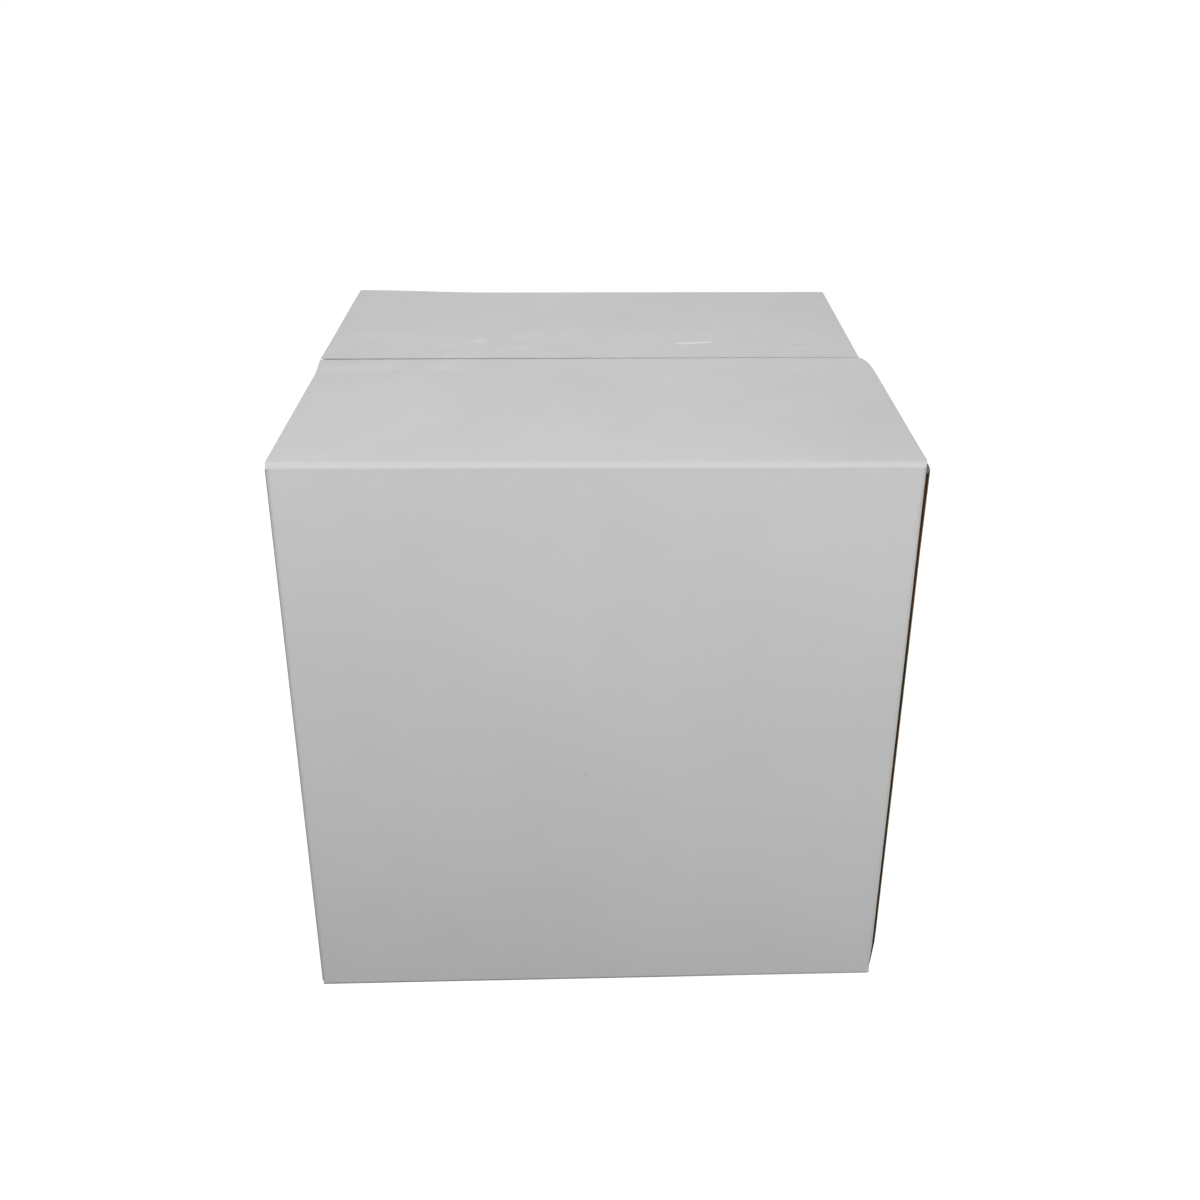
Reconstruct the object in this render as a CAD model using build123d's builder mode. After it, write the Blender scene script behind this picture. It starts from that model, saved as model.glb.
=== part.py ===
from build123d import *
import os

# A cube-shaped corrugated carton, white outside and brown inside, with top flaps that open.
#
# Four walls, four top flaps and four bottom flaps are cut from one sheet of single-wall board, which is
# scored where it folds and glued to itself at the front right corner. Every wall and flap is three sheets
# of paper: a white outer liner, a fluted middle and a brown inner liner.
# +Z is up, -Y is the front, and the origin is the middle of the base.

# Driving dimensions, in millimetres
INSIDE = 305.0  # clear width and depth of the square base
INSIDE_HEIGHT = 302.0  # clear height between the inner flaps
BOARD = 3.0  # thickness of the board, over both liners
LINER = 0.25  # thickness of a flat liner
MEDIUM = 0.3  # thickness of the fluted paper, measured across the board
FLUTE_PITCH = 6.5  # from one flute to the next
GLUE_LINE = 0.8  # width of a flute's crest where it is glued flat to a liner
PLAY = 0.2  # gap between an inner and an outer flap
FLAP_INSET = 1.0  # from a side of the carton to the edge of an outer flap
SLOT = 1.5  # from a wall's inner face to the edge of an inner flap
SEAM_GAP = 1.5  # between two flaps that meet
TOP_SEAM_OFFSET = 5.6  # the top seam lies this far behind the middle
REAR_TRIM = 1.5  # the rear flap is this much narrower than the front one
REAR_SHIFT = 1.0  # and sits this far to the right of it
WORN_ACROSS = 4.5  # the front flap's worn corner, along its free edge
WORN_ALONG = 20.0  # the same corner, along its right edge
TAB_WIDTH = 35.0  # the strip that is glued inside the right wall
TAB_CLEARANCE = 14.0  # from the right wall's scores to the ends of the tab
TAB_TAPER = 10.0  # how much each end of the tab slants towards its free edge
GLUE = 0.15  # thickness of the glue on the tab
GLUE_STRIPE = 9.0  # width of one stripe of that glue
RAW_EDGE_SETBACK = 3.2  # the right wall's cut edge lies this far behind the front
FOLD_PROUD = 1.8  # the tab's fold stands this far out in front of that edge
TAPE = 0.06  # thickness of the clear tape, which beds into the paper of the flaps
TOP_TAPE_FRONT = 22.0  # width of the top tape on the front flap
TOP_TAPE_REAR = 52.5  # width of the top tape on the rear flap
TAPE_TAIL = 60.0  # length of tape that goes over onto a side wall

# Sizes that follow from them
HALF = INSIDE / 2 + BOARD  # from the middle to the outer face of any wall
LAYERS = 2 * BOARD + PLAY  # an outer flap on an inner flap
HEIGHT = INSIDE_HEIGHT + 2 * LAYERS
OUTER_WIDTH = 2 * (HALF - FLAP_INSET)
REAR_WIDTH = OUTER_WIDTH - REAR_TRIM
INNER_WIDTH = INSIDE - 2 * SLOT
SCORE = HALF - BOARD  # from the middle to the line where a flap leaves its fold
FLAP_REACH = SCORE - SEAM_GAP / 2  # from that line to a seam in the middle
TOP_TAPE = TOP_TAPE_FRONT + SEAM_GAP + TOP_TAPE_REAR
TAB_FACE = HALF - BOARD - GLUE  # the glued face of the tab
TAB_FOLD = TAB_FACE - BOARD + FOLD_PROUD  # the inner line of the tab's fold

LEFT, RIGHT = Vector(-1, 0, 0), Vector(1, 0, 0)
FRONT, BACK = Vector(0, -1, 0), Vector(0, 1, 0)
DOWN, UP = Vector(0, 0, -1), Vector(0, 0, 1)


def save(piece, name):
    """Labels a finished piece and writes it to its own file."""
    piece.part.label = name
    export_step(piece.part, f"parts/{name}.step")


def face_plane(middle, outward, along):
    """Plane on an outer face, whose Y points along the flutes to the free edge."""
    return Plane(origin=middle, x_dir=along.cross(outward), z_dir=outward)


def outline(plane, width, length, worn=False):
    """Outline of a sheet, with the right corner of its free edge rounded off where that corner is worn."""
    right, top = width / 2, length / 2
    with BuildSketch(plane) as sheet:
        if worn:
            round_middle = (right - WORN_ACROSS, top - WORN_ALONG)
            with BuildLine():
                Polyline(
                    (right - WORN_ACROSS, top),
                    (-right, top),
                    (-right, -top),
                    (right, -top),
                    (right, top - WORN_ALONG),
                )
                EllipticalCenterArc(round_middle, WORN_ACROSS, WORN_ALONG, start_angle=0, arc_size=90)
            make_face()
        else:
            Rectangle(width, length)
    return sheet.sketch


def flute_outline(width, crest):
    """Outline of the fluted paper: out along its upper side and back along its lower side."""
    count = int(width / FLUTE_PITCH)
    start = -count * FLUTE_PITCH / 2
    top = -LINER
    bottom = LINER - BOARD + MEDIUM
    upper = [(start, (top + bottom) / 2)]
    for index in range(count):
        for quarter, level in ((1, top), (3, bottom)):
            centre = start + (index + quarter / 4) * FLUTE_PITCH
            edges = (centre - crest / 2, centre + crest / 2) if crest else (centre,)
            upper.extend((edge, level) for edge in edges)
    upper.append((-start, (top + bottom) / 2))
    lower = [(across, level - MEDIUM) for across, level in reversed(upper)]
    return upper + lower


def board(name, face, width, length, crest=0.0, tape_bed=0.0, worn=False):
    """Makes the three sheets of one flat wall or flap, inwards from the plane of its outer face.

    Flutes that show at a cut edge have a flat crest, and those closed in all round have none. tape_bed is
    the width of the band along the free edge that the tape is pressed into.
    """
    outer_sheet = outline(face, width, length, worn)
    inner_sheet = outline(face.offset(LINER - BOARD), width, length, worn)

    with BuildPart() as white_liner:
        extrude(outer_sheet, amount=-LINER)
        if tape_bed:
            with BuildSketch(face):
                with Locations((0, (length - tape_bed) / 2)):
                    Rectangle(width, tape_bed)
            extrude(amount=-TAPE, mode=Mode.SUBTRACT)
    save(white_liner, f"{name}_white_liner")

    with BuildPart() as fluting:
        with BuildSketch(Plane(origin=face.origin, x_dir=face.x_dir, z_dir=-face.y_dir)):
            with BuildLine():
                Polyline(*flute_outline(width, crest), close=True)
            make_face()
        extrude(amount=length / 2, both=True)
        if worn:
            extrude(outer_sheet, amount=-BOARD, mode=Mode.INTERSECT)
    save(fluting, f"{name}_fluting")

    with BuildPart() as kraft_liner:
        extrude(inner_sheet, amount=-LINER)
    save(kraft_liner, f"{name}_kraft_liner")


def crease(name, middle, first, second, length):
    """Makes one scored fold: a quarter round of crushed board from one outer face to the next.

    middle is the middle of the fold's inner line, and first and second point to the two faces.
    """
    with BuildPart() as fold:
        with BuildSketch(Plane(origin=middle, x_dir=first, z_dir=first.cross(second))):
            with BuildLine():
                Line((0, 0), (BOARD, 0))
                CenterArc((0, 0), BOARD, 0, 90)
                Line((0, BOARD), (0, 0))
            make_face()
        extrude(amount=length / 2, both=True)
    save(fold, f"{name}_crease")


def flap(name, side, outward, level, width, reach, shift=0.0, **finish):
    """Makes one flap and its fold.

    level is the height of its outer face, reach its length from the fold, and shift how far it sits to the
    right.
    """
    base = UP * level + RIGHT * shift
    board(name, face_plane(base + side * (SCORE - reach / 2), outward, -side), width, reach, **finish)
    crease(name, base + side * SCORE - outward * BOARD, side, outward, width)


def tape_strip(name, level, outward, near, far, width=OUTER_WIDTH, shift=0.0, worn=False):
    """Makes one strip of tape that lies along a seam, from one Y to another, bedded in the flaps."""
    middle = Vector(shift, (near + far) / 2, level)
    sheet = outline(face_plane(middle, outward, BACK), width, far - near, worn)
    with BuildPart() as strip:
        extrude(sheet, amount=-TAPE)
    save(strip, name)


def tape_tails(name, middle_y, middle_z, width):
    """Makes the two ends of a tape, which are pressed onto the left and right walls."""
    with BuildPart() as tails:
        for side in (LEFT, RIGHT):
            with BuildSketch(face_plane(side * HALF + Vector(0, middle_y, middle_z), side, UP)):
                Rectangle(width, TAPE_TAIL)
            extrude(amount=TAPE)
    save(tails, name)


os.makedirs("parts", exist_ok=True)

# Walls: the front and back ones stand as high as the outer flaps, the side ones as high as the inner flaps
mid_height = UP * HEIGHT / 2
front_width = TAB_FOLD + SCORE
right_width = HALF - RAW_EDGE_SETBACK + SCORE
tall = HEIGHT - 2 * BOARD
front_middle = FRONT * HALF + RIGHT * (TAB_FOLD - SCORE) / 2 + mid_height
right_middle = RIGHT * HALF + FRONT * (HALF - RAW_EDGE_SETBACK - SCORE) / 2 + mid_height
board("front_panel", face_plane(front_middle, FRONT, UP), front_width, tall)
board("back_panel", face_plane(BACK * HALF + mid_height, BACK, UP), INSIDE, tall)
board("left_panel", face_plane(LEFT * HALF + mid_height, LEFT, UP), INSIDE, INSIDE_HEIGHT)
board("right_panel", face_plane(right_middle, RIGHT, UP), right_width, INSIDE_HEIGHT)

# Upright folds, of which the front right one carries the glue tab
crease("front_left_corner", (FRONT + LEFT) * SCORE + mid_height, FRONT, LEFT, tall)
crease("back_left_corner", (BACK + LEFT) * SCORE + mid_height, LEFT, BACK, tall)
crease("back_right_corner", (BACK + RIGHT) * SCORE + mid_height, BACK, RIGHT, tall)
crease("glue_tab", FRONT * SCORE + RIGHT * TAB_FOLD + mid_height, FRONT, RIGHT, tall)

# Glue tab behind the right wall, with slanted ends that keep clear of the flaps' folds
tab_plane = Plane(origin=FRONT * SCORE + RIGHT * TAB_FACE + mid_height, x_dir=BACK, z_dir=RIGHT)
tab_half = INSIDE_HEIGHT / 2 - TAB_CLEARANCE
with BuildPart() as glue_tab:
    with BuildSketch(tab_plane):
        with BuildLine():
            Polyline(
                (0, -tab_half),
                (TAB_WIDTH, TAB_TAPER - tab_half),
                (TAB_WIDTH, tab_half - TAB_TAPER),
                (0, tab_half),
                close=True,
            )
        make_face()
    extrude(amount=-BOARD)
save(glue_tab, "glue_tab")

with BuildPart() as joint_glue:
    with BuildSketch(tab_plane):
        with Locations((TAB_WIDTH / 4, 0), (3 * TAB_WIDTH / 4, 0)):
            Rectangle(GLUE_STRIPE, 2 * (tab_half - TAB_TAPER))
    extrude(amount=GLUE)
save(joint_glue, "joint_glue")

# Top flaps: the left and right ones lie below, and the front and rear ones close over them
inner_level = HEIGHT - BOARD - PLAY
front_reach = FLAP_REACH + TOP_SEAM_OFFSET
rear_reach = FLAP_REACH - TOP_SEAM_OFFSET
front_finish = {"crest": GLUE_LINE, "tape_bed": TOP_TAPE_FRONT, "worn": True}
rear_finish = {"crest": GLUE_LINE, "tape_bed": TOP_TAPE_REAR, "shift": REAR_SHIFT}
flap("top_front_flap", FRONT, UP, HEIGHT, OUTER_WIDTH, front_reach, **front_finish)
flap("top_rear_flap", BACK, UP, HEIGHT, REAR_WIDTH, rear_reach, **rear_finish)
flap("top_left_flap", LEFT, UP, inner_level, INNER_WIDTH, FLAP_REACH, crest=GLUE_LINE)
flap("top_right_flap", RIGHT, UP, inner_level, INNER_WIDTH, FLAP_REACH, crest=GLUE_LINE)

# Bottom flaps, in the same order from inside to outside
bottom_tape_half = TOP_TAPE / 2
bottom_finish = {"crest": GLUE_LINE, "tape_bed": bottom_tape_half - SEAM_GAP / 2}
flap("bottom_front_flap", FRONT, DOWN, 0, OUTER_WIDTH, FLAP_REACH, **bottom_finish)
flap("bottom_rear_flap", BACK, DOWN, 0, OUTER_WIDTH, FLAP_REACH, **bottom_finish)
flap("bottom_left_flap", LEFT, DOWN, BOARD + PLAY, INNER_WIDTH, FLAP_REACH)
flap("bottom_right_flap", RIGHT, DOWN, BOARD + PLAY, INNER_WIDTH, FLAP_REACH)

# Clear tape: slit along the top seam and at the edges of the lid, whole under the base
front_edge = TOP_SEAM_OFFSET - SEAM_GAP / 2
rear_edge = TOP_SEAM_OFFSET + SEAM_GAP / 2
top_tape_middle = (front_edge - TOP_TAPE_FRONT + rear_edge + TOP_TAPE_REAR) / 2
tape_strip("top_tape_front", HEIGHT, UP, front_edge - TOP_TAPE_FRONT, front_edge, worn=True)
tape_strip("top_tape_rear", HEIGHT, UP, rear_edge, rear_edge + TOP_TAPE_REAR, REAR_WIDTH, REAR_SHIFT)
tape_tails("top_tape_tails", top_tape_middle, HEIGHT - LAYERS - TAPE_TAIL / 2, TOP_TAPE)
tape_strip("bottom_tape", 0, DOWN, -bottom_tape_half, bottom_tape_half)
tape_tails("bottom_tape_tails", 0, LAYERS + TAPE_TAIL / 2, TOP_TAPE)
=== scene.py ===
# %% [markdown]
# # A white corrugated carton
# The object is a cube-shaped shipping carton: one sheet of corrugated board, white outside and brown inside,
# folded into four walls, glued at one corner, and closed above and below by four flaps each.
# The CAD model gives every ply of paper its place. This lesson dresses those plies: paper that bows and
# creases, flutes that show at the cut edges, folds that really bend, and clear tape with trapped air.

# %% Load the frame
import math

import bpy
import numpy as np
from mathutils import Matrix, Vector


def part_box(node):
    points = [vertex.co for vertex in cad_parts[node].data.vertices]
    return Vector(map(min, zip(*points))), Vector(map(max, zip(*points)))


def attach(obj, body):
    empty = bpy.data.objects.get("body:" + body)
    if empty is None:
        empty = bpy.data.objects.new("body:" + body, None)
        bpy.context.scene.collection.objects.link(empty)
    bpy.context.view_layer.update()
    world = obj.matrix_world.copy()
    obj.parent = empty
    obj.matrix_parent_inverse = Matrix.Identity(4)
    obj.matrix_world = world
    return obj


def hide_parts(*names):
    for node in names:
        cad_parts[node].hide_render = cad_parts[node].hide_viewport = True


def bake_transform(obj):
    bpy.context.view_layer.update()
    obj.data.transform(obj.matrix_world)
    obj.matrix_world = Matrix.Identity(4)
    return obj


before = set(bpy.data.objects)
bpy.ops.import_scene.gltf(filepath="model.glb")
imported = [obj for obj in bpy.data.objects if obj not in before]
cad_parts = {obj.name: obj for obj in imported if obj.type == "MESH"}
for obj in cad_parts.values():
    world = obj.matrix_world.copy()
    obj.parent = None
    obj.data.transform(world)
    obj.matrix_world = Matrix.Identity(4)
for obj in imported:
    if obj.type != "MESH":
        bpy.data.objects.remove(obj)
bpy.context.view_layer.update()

# %% [markdown]
# ## Sizes
# Nothing here repeats a dimension that the CAD model already knows. The box of a few nodes gives the board's
# thickness, the height of the lid and the lines where the board is scored, so the looks follow the part when
# it changes. Only sizes that belong to the finish, such as a bubble under the tape, are written as numbers.

# %% Read the sizes from the plies
MM = 0.001

front_low, front_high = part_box("front_panel_white_liner")
side_low, side_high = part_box("left_panel_white_liner")

HALF = -front_low.y  # from the middle to the outer face of a wall
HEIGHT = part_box("top_front_flap_white_liner")[1].z
LINER = front_high.y - front_low.y
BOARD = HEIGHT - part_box("top_front_flap_kraft_liner")[0].z
SCORE = HALF - BOARD  # from the middle to the line where a fold begins
TAB_FOLD = front_high.x  # where the front wall turns in to the glue tab
RAW_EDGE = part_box("right_panel_white_liner")[0].y  # where the right wall ends at the same corner
print("board %.2f mm, liner %.2f mm, height %.1f mm" % (BOARD / MM, LINER / MM, HEIGHT / MM))

# %% [markdown]
# ## Shader nodes
# A material is a graph, and most of its lines only add a node and join it to the last one. A helper that takes
# the inputs as a dictionary keeps each graph readable: a socket is linked, and anything else is set as a value.

# %% Helpers for node trees
VALUE, VECTOR = "NodeSocketFloat", "NodeSocketVector"


def put(tree, kind, inputs=None, **settings):
    """Adds a node, sets its options, and links or fills its inputs by name or by number."""
    node = tree.nodes.new(kind)
    for name, value in settings.items():
        setattr(node, name, value)
    for key, value in (inputs or {}).items():
        if isinstance(value, bpy.types.NodeSocket):
            tree.links.new(value, node.inputs[key])
        else:
            node.inputs[key].default_value = value
    return node


def feed(tree, sockets, values):
    """Links each value to the socket of that name."""
    for name, value in values.items():
        tree.links.new(value, sockets[name])


def calc(tree, operation, first, second=0.0, third=0.0):
    return put(tree, "ShaderNodeMath", {0: first, 1: second, 2: third}, operation=operation).outputs[0]


def mix_colour(tree, share, first, second):
    return put(tree, "ShaderNodeMix", {0: share, 6: first, 7: second}, data_type="RGBA").outputs[2]


def rescale(tree, value, low, high, new_low=0.0, new_high=1.0):
    spans = {"Value": value, "From Min": low, "From Max": high, "To Min": new_low, "To Max": new_high}
    return put(tree, "ShaderNodeMapRange", spans, clamp=True).outputs["Result"]


def noise(tree, place, scale, detail=2.0, roughness=0.5):
    spans = {"Vector": place, "Scale": scale, "Detail": detail, "Roughness": roughness}
    return put(tree, "ShaderNodeTexNoise", spans).outputs["Fac"]


def add_sockets(tree, way, sockets):
    for label, kind in sockets:
        tree.interface.new_socket(name=label, in_out=way, socket_type=kind)


def shader_group(name, inputs, outputs):
    """Starts a node group and returns its tree, its inputs as sockets to read, and its outputs to fill."""
    tree = bpy.data.node_groups.new(name, "ShaderNodeTree")
    add_sockets(tree, "INPUT", inputs)
    add_sockets(tree, "OUTPUT", outputs)
    return tree, put(tree, "NodeGroupInput").outputs, put(tree, "NodeGroupOutput").inputs


def use_group(tree, group, inputs):
    return put(tree, "ShaderNodeGroup", inputs, node_tree=group).outputs


print("node helpers ready")

# %% [markdown]
# ## Washboard
# Liner paper is glued to the crests of the flutes only, so it sinks a few hundredths of a millimetre between
# them. That shows as faint parallel lines, one for each flute. A Wave Texture could draw them, but a sine of the
# distance across the flutes lets the same group serve a wall that wraps round a corner. Some noise fades the
# lines in and out, because the glue doesn't hold evenly.

# %% Group: washboard
GLUE_PATCHES = 14.0  # noise cells in a metre


def make_washboard():
    tree, given, made = shader_group(
        "washboard", [("Place", VECTOR), ("Across", VALUE), ("Pitch", VALUE)], [("Ridge", VALUE)]
    )
    turns = calc(tree, "DIVIDE", given["Across"], given["Pitch"])
    wave = calc(tree, "SINE", calc(tree, "MULTIPLY", turns, 2 * math.pi))
    hold = rescale(tree, noise(tree, given["Place"], GLUE_PATCHES), 0.35, 0.65, 0.25, 1.0)
    feed(tree, made, {"Ridge": calc(tree, "MULTIPLY", wave, hold)})
    return tree


washboard = make_washboard()
print("group:", washboard.name)

# %% [markdown]
# ## Paper
# Even clean paper is not one flat colour. Its tone drifts over a hand's width, its surface has a fine tooth, and
# a few dark specks of pulp or dirt lie in it. Three textures at three scales give those, and all paper on the
# carton shares them. The specks are Voronoi cells: the middle of a few cells is kept and the rest thrown away.

# %% Group: paper
DRIFT, PATCHES, TOOTH = 9.0, 38.0, 1400.0  # noise cells in a metre, from broad to fine
SPECK_CELLS = 140.0  # cells in a metre
SPECK_CHANCE = 0.99  # share of the cells that stay clean
SPECK_CORE, SPECK_RIM = 0.03, 0.075  # where a speck is fully dark and where it ends, in cells


def make_paper_surface():
    tree, given, made = shader_group(
        "paper_surface", [("Place", VECTOR)], [("Tone", VALUE), ("Tooth", VALUE), ("Speck", VALUE)]
    )
    place = given["Place"]
    broad = calc(tree, "MULTIPLY", noise(tree, place, DRIFT, 3.0, 0.45), 0.7)
    tone = calc(tree, "MULTIPLY_ADD", noise(tree, place, PATCHES), 0.3, broad)
    cells = put(tree, "ShaderNodeTexVoronoi", {"Vector": place, "Scale": SPECK_CELLS}).outputs
    chance = put(tree, "ShaderNodeSeparateColor", {"Color": cells["Color"]}).outputs[0]
    near = rescale(tree, cells["Distance"], SPECK_CORE, SPECK_RIM, 1.0, 0.0)
    speck = calc(tree, "MULTIPLY", near, calc(tree, "GREATER_THAN", chance, SPECK_CHANCE))
    tone, tooth = rescale(tree, tone, 0.34, 0.66), noise(tree, place, TOOTH)
    feed(tree, made, {"Tone": tone, "Tooth": tooth, "Speck": speck})
    return tree


paper_surface = make_paper_surface()
print("group:", paper_surface.name)

# %% [markdown]
# ## Fibres
# Brown kraft paper is made of long fibres that lie in all directions. Noise stretched along one axis looks like
# a bundle of fibres, and two bundles turned against each other look like felted paper. A Mapping node does both
# the stretching and the turning.

# %% Group: fibres
BUNDLES = (((0.5, 0.3, 0.4), (1500, 160, 160)), ((0.2, -0.6, -0.5), (170, 170, 1500)))  # turn and stretch


def make_fibres():
    tree, given, made = shader_group("fibres", [("Place", VECTOR)], [("Fibre", VALUE)])
    bundles = []
    for turn, stretch in BUNDLES:
        laid = put(tree, "ShaderNodeMapping", {"Vector": given["Place"], "Rotation": turn, "Scale": stretch})
        bundles.append(noise(tree, laid.outputs["Vector"], 1.0, 2.0, 0.6))
    feed(tree, made, {"Fibre": rescale(tree, calc(tree, "ADD", *bundles), 0.75, 1.25)})
    return tree


fibres = make_fibres()
print("group:", fibres.name)

# %% [markdown]
# ## White liner
# The outer liner is white, clay-coated paper with a satin surface. Its material mixes two close greys by the
# paper's tone and darkens the specks. Three attributes of a sheet change it further: worn, where handling rubs
# the coating off, a painted highlight along the middle of a lid fold, and painted shade where a fold turns under
# towards the floor and on the rounding of the front left corner. The roughness drifts with the tone, so highlights
# break up a little. Washboard and tooth go into one Bump node. Sheets made in this lesson carry the distance across
# the flutes as an attribute, while the flat CAD plies take it from X or Y.

# %% Material: white liner
WHITE = (0.582, 0.582, 0.582, 1.0)
WHITE_SHADE = (0.560, 0.561, 0.561, 1.0)
SPECK_GREY = (0.22, 0.21, 0.20, 1.0)
RUBBED = (0.47, 0.455, 0.43, 1.0)
# The next colour is painted shade.
SHADE_GREY = (0.11, 0.108, 0.102, 1.0)
# The next colour is a painted highlight for the middle of a lid fold.
FOLD_HIGHLIGHT = (0.590, 0.590, 0.590, 1.0)
PAPER_GLOSS = 0.2
SATIN = (0.56, 0.47)  # roughness of the darker and of the lighter tone
CRUMBS = 420.0  # noise cells in a metre where the coating is rubbed
PITCH = 6.5 * MM  # from one flute to the next
WHITE_RELIEF = 0.05 * MM
WHITE_SPECK, WHITE_TOOTH, WHITE_RIDGE, WHITE_BUMP = 0.8, 0.35, 0.5, 0.6  # how strongly each shows


def empty_tree(owner):
    """The node tree of a material or of the world, without the nodes it starts with."""
    owner.use_nodes = True
    owner.node_tree.nodes.clear()
    return owner.node_tree


def start_material(name):
    """Returns a new material, its tree, its shader, and a socket with the place on the piece."""
    material = bpy.data.materials.new(name)
    tree = empty_tree(material)
    shader = put(tree, "ShaderNodeBsdfPrincipled")
    put(tree, "ShaderNodeOutputMaterial", {"Surface": shader.outputs["BSDF"]}, is_active_output=True)
    return material, tree, shader, put(tree, "ShaderNodeTexCoord").outputs["Object"]


def attribute(tree, name):
    return put(tree, "ShaderNodeAttribute", attribute_name=name).outputs["Fac"]


def ridges(tree, place, axis):
    """The washboard of a sheet with its own attribute, or of a CAD ply along X or Y."""
    if axis == "sheet":
        across = attribute(tree, "across")
    else:
        across = put(tree, "ShaderNodeSeparateXYZ", {"Vector": place}).outputs[axis]
    return use_group(tree, washboard, {"Place": place, "Across": across, "Pitch": PITCH})["Ridge"]


def bump(tree, shader, height, depth, strength):
    node = put(tree, "ShaderNodeBump", {"Height": height, "Distance": depth, "Strength": strength})
    feed(tree, shader.inputs, {"Normal": node.outputs["Normal"]})


def make_white_liner(axis):
    material, tree, shader, place = start_material(f"white_liner_{axis}")
    shader.inputs["Specular IOR Level"].default_value = PAPER_GLOSS
    paper = use_group(tree, paper_surface, {"Place": place})
    colour = mix_colour(tree, paper["Tone"], WHITE_SHADE, WHITE)
    colour = mix_colour(tree, calc(tree, "MULTIPLY", paper["Speck"], WHITE_SPECK), colour, SPECK_GREY)
    if axis == "sheet":
        crumbs = rescale(tree, noise(tree, place, CRUMBS, 4.0, 0.65), 0.46, 0.62)
        rubbed = calc(tree, "MULTIPLY", attribute(tree, "worn"), crumbs)
        colour = mix_colour(tree, rubbed, colour, RUBBED)
        # A painted highlight along the middle of a lid fold.
        colour = mix_colour(tree, attribute(tree, "stretched"), colour, FOLD_HIGHLIGHT)
        # Painted shade where a lower fold turns under, and on the front left corner's rounding.
        colour = mix_colour(tree, attribute(tree, "soil"), colour, SHADE_GREY)
    dull = rescale(tree, paper["Tone"], 0.0, 1.0, *SATIN)
    feed(tree, shader.inputs, {"Base Color": colour, "Roughness": dull})
    tooth = calc(tree, "MULTIPLY", paper["Tooth"], WHITE_TOOTH)
    relief = calc(tree, "MULTIPLY_ADD", ridges(tree, place, axis), WHITE_RIDGE, tooth)
    bump(tree, shader, relief, WHITE_RELIEF, WHITE_BUMP)
    return material


white_sheet, white_x, white_y = (make_white_liner(axis) for axis in ("sheet", "X", "Y"))
print("materials:", white_sheet.name, white_x.name, white_y.name)

# %% [markdown]
# ## Brown papers
# The inner liner and the flutes are unbleached kraft. The liner is a warm brown with felted fibres and stronger
# washboard lines than the white side. The flutes are a rougher recycled paper. The crushed board at a score, the
# cut edge of the white liner and the raw end of a fold are brown papers too, so one function makes all
# five with their own two colours. The raw end's dark grey-brown is painted shade over the brown of crushed board.

# %% Materials: brown papers
KRAFT = ((0.36, 0.22, 0.105, 1.0), (0.47, 0.30, 0.155, 1.0))
FLUTING = ((0.36, 0.28, 0.195, 1.0), (0.47, 0.37, 0.26, 1.0))
CRUSHED = ((0.28, 0.18, 0.095, 1.0), (0.40, 0.265, 0.145, 1.0))
CUT_EDGE = ((0.46, 0.405, 0.33, 1.0), (0.58, 0.53, 0.45, 1.0))
# Painted shade: the raw end of the right folds, much darker than crushed board.
FOLD_END_SHADE = ((0.12, 0.117, 0.107, 1.0), (0.20, 0.193, 0.177, 1.0))
BROWN_RELIEF = 0.09 * MM
ROUGH_DRIFT = 0.06
FIBRE_TONE, PAPER_TONE = 0.65, 0.35  # shares of both in the colour
SPECK_DARK = 0.35  # a speck's colour against the darker paper
BROWN_SPECK, BROWN_FIBRE, BROWN_RIDGE, BROWN_BUMP = 0.7, 0.4, 0.9, 0.7  # how strongly each shows


def make_brown_paper(name, colours, axis=None, roughness=0.85):
    material, tree, shader, place = start_material(name)
    paper = use_group(tree, paper_surface, {"Place": place})
    fibre = use_group(tree, fibres, {"Place": place})["Fibre"]
    tone = calc(tree, "MULTIPLY", paper["Tone"], PAPER_TONE)
    tone = calc(tree, "MULTIPLY_ADD", fibre, FIBRE_TONE, tone)
    dark = tuple(SPECK_DARK * part for part in colours[0][:3]) + (1.0,)
    colour = mix_colour(tree, tone, *colours)
    colour = mix_colour(tree, calc(tree, "MULTIPLY", paper["Speck"], BROWN_SPECK), colour, dark)
    dull = rescale(tree, fibre, 0.0, 1.0, roughness + ROUGH_DRIFT, roughness - ROUGH_DRIFT)
    feed(tree, shader.inputs, {"Base Color": colour, "Roughness": dull})
    relief = calc(tree, "MULTIPLY", fibre, BROWN_FIBRE)
    if axis:
        relief = calc(tree, "MULTIPLY_ADD", ridges(tree, place, axis), BROWN_RIDGE, relief)
    bump(tree, shader, relief, BROWN_RELIEF, BROWN_BUMP)
    return material


kraft_sheet, kraft_x, kraft_y = (
    make_brown_paper(f"kraft_liner_{axis}", KRAFT, axis) for axis in ("sheet", "X", "Y")
)
fluting_paper = make_brown_paper("fluting_paper", FLUTING, roughness=0.92)
crushed_board = make_brown_paper("crushed_board", CRUSHED)
cut_edge = make_brown_paper("cut_paper_edge", CUT_EDGE)
painted_shade_end = make_brown_paper("raw_fold_end", FOLD_END_SHADE)
print("brown papers:", kraft_sheet.name, fluting_paper.name, crushed_board.name, cut_edge.name, painted_shade_end.name)

# %% [markdown]
# ## A thin sheet of paper
# Every ply here is a sheet with two faces and a rim. Solidify could thicken a single grid, but a ply at a fold has
# a different shape on its inside than on its outside. So the helper takes both faces as matching grids of points,
# closes them along the rim, and can leave cells out of the grid. Each of the three groups of faces gets its own
# material, and per-point values are stored as attributes for the shaders.

# %% Helper: sheet
SHARP = math.radians(38)


def add_object(name, data):
    thing = bpy.data.objects.new(name, data)
    bpy.context.scene.collection.objects.link(thing)
    return thing


def new_piece(name, mesh, body, replaced=()):
    piece = add_object(name, mesh)
    if body:
        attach(piece, body)
    if replaced:
        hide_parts(*replaced)
    return piece


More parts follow.
